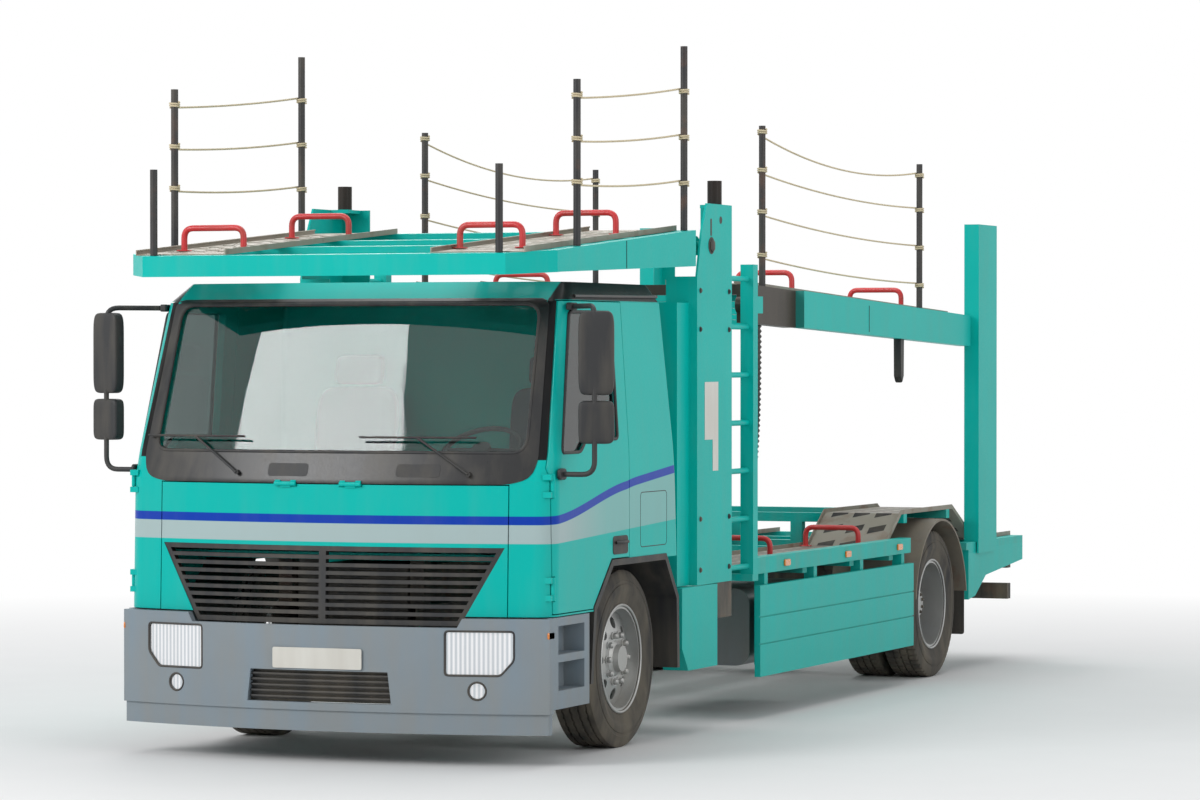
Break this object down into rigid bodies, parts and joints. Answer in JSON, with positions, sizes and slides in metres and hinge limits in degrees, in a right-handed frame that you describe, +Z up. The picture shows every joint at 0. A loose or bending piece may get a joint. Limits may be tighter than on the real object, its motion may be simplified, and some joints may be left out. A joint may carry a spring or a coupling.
{
  "type": "car transporter truck",
  "caption": "Two-axle rigid truck that carries cars: a cab under a tilting front deck, a lower deck with wheel tracks and a tilting upper deck between columns.",
  "frame": {"origin": "on the ground, halfway between the front bumper and the rear end, on the centre line", "axes": "+X to the driver's side, -Y to the front, +Z up"},
  "size_m": [3.0674, 9, 3.9],
  "materials": {
    "teal_paint": "glossy coach paint, lightly soiled",
    "trim_black": "grained dark plastic",
    "bumper_grey": "grained grey plastic",
    "frame_black": "chassis paint with road film",
    "deck_steel": "worn primer and bare steel",
    "black_paint": "black paint",
    "red_paint": "red paint, rubbed",
    "tyre_rubber": "tyre rubber",
    "wheel_silver": "silver wheel paint",
    "glass": "tinted glass",
    "lamp_clear": "clear lamp cover over a bright reflector",
    "lamp_red": "red lamp cover",
    "seat_fabric": "woven seat cloth",
    "cab_plastic": "soft interior plastic",
    "cast_metal": "cast and forged running gear",
    "tank_metal": "brushed tank skin"
  },
  "bodies": {
    "chassis": {"chassis_frame": "frame_black", "engine_block": "cast_metal", "driveline": "cast_metal", "front_axle": "cast_metal", "rear_axle": "cast_metal", "leaf_springs": "frame_black", "fuel_tank": "tank_metal", "battery_box": "trim_black", "front_bumper": "bumper_grey", "front_lamps": "lamp_clear", "cab_body": "teal_paint", "windscreen": "glass", "dashboard": "cab_plastic", "seat_frames": "cab_plastic", "seat_pads": "seat_fabric", "wipers": "trim_black", "wheel_arches": "trim_black", "cab_steps": "trim_black", "front_columns": "teal_paint", "ladders": "teal_paint", "rear_columns": "teal_paint", "lower_deck": "deck_steel", "lower_wheel_stops": "red_paint", "rear_fenders": "trim_black", "side_panels": "teal_paint", "rear_bumper": "frame_black", "tail_lamps": "lamp_red", "tow_coupling": "cast_metal"},
    "over_cab_deck": {"over_cab_frame": "teal_paint", "over_cab_tracks": "deck_steel", "over_cab_stops": "red_paint", "over_cab_posts": "black_paint"},
    "upper_deck": {"upper_deck_frame": "teal_paint", "upper_tracks": "deck_steel", "upper_stops": "red_paint", "upper_posts": "black_paint"},
    "front_flap": {"front_flap": "teal_paint", "grille": "trim_black"},
    "door_left": {"door_left": "teal_paint", "door_glass_left": "glass", "mirror_left": "trim_black"},
    "door_right": {"door_right": "teal_paint", "door_glass_right": "glass", "mirror_right": "trim_black"},
    "steering_left": {"knuckle_left": "cast_metal"},
    "steering_right": {"knuckle_right": "cast_metal"},
    "front_wheel_left": {"front_tyre_left": "tyre_rubber", "front_rim_left": "wheel_silver"},
    "front_wheel_right": {"front_tyre_right": "tyre_rubber", "front_rim_right": "wheel_silver"},
    "rear_wheels_left": {"rear_tyres_left": "tyre_rubber", "rear_rims_left": "wheel_silver"},
    "rear_wheels_right": {"rear_tyres_right": "tyre_rubber", "rear_rims_right": "wheel_silver"}
  },
  "joints": [
    {"name": "steer_left", "type": "hinge", "parent": "chassis", "child": "steering_left", "pos_m": [0.85, -3.025, 0.487], "axis": [0, 0, 1], "range_deg": [-35, 35]},
    {"name": "steer_right", "type": "hinge", "parent": "chassis", "child": "steering_right", "pos_m": [-0.85, -3.025, 0.487], "axis": [0, 0, 1], "range_deg": [-35, 35]},
    {"name": "front_wheel_left_spin", "type": "hinge", "parent": "steering_left", "child": "front_wheel_left", "pos_m": [1.03, -3.025, 0.487], "axis": [1, 0, 0], "continuous": true},
    {"name": "front_wheel_right_spin", "type": "hinge", "parent": "steering_right", "child": "front_wheel_right", "pos_m": [-1.03, -3.025, 0.487], "axis": [1, 0, 0], "continuous": true},
    {"name": "rear_wheels_left_spin", "type": "hinge", "parent": "chassis", "child": "rear_wheels_left", "pos_m": [0.9375, 2.53, 0.487], "axis": [1, 0, 0], "continuous": true},
    {"name": "rear_wheels_right_spin", "type": "hinge", "parent": "chassis", "child": "rear_wheels_right", "pos_m": [-0.9375, 2.53, 0.487], "axis": [1, 0, 0], "continuous": true},
    {"name": "door_left_hinge", "type": "hinge", "parent": "chassis", "child": "door_left", "pos_m": [1.234, -4.225, 1.2], "axis": [0, 0, -1], "range_deg": [0, 70]},
    {"name": "door_right_hinge", "type": "hinge", "parent": "chassis", "child": "door_right", "pos_m": [-1.234, -4.225, 1.2], "axis": [0, 0, 1], "range_deg": [0, 70]},
    {"name": "front_flap_hinge", "type": "hinge", "parent": "chassis", "child": "front_flap", "pos_m": [0, -4.43, 1.473], "axis": [-1, 0, 0], "range_deg": [0, 75]},
    {"name": "over_cab_deck_tilt", "type": "hinge", "parent": "chassis", "child": "over_cab_deck", "pos_m": [0, -1.9, 2.78], "axis": [-1, 0, 0], "range_deg": [0, 12]},
    {"name": "upper_deck_tilt", "type": "hinge", "parent": "chassis", "child": "upper_deck", "pos_m": [0, -1.01, 2.45], "axis": [1, 0, 0], "range_deg": [-12, 3]}
  ],
  "couplings": [
    {"joint": "steer_right", "follows": "steer_left", "ratio": 1}
  ]
}
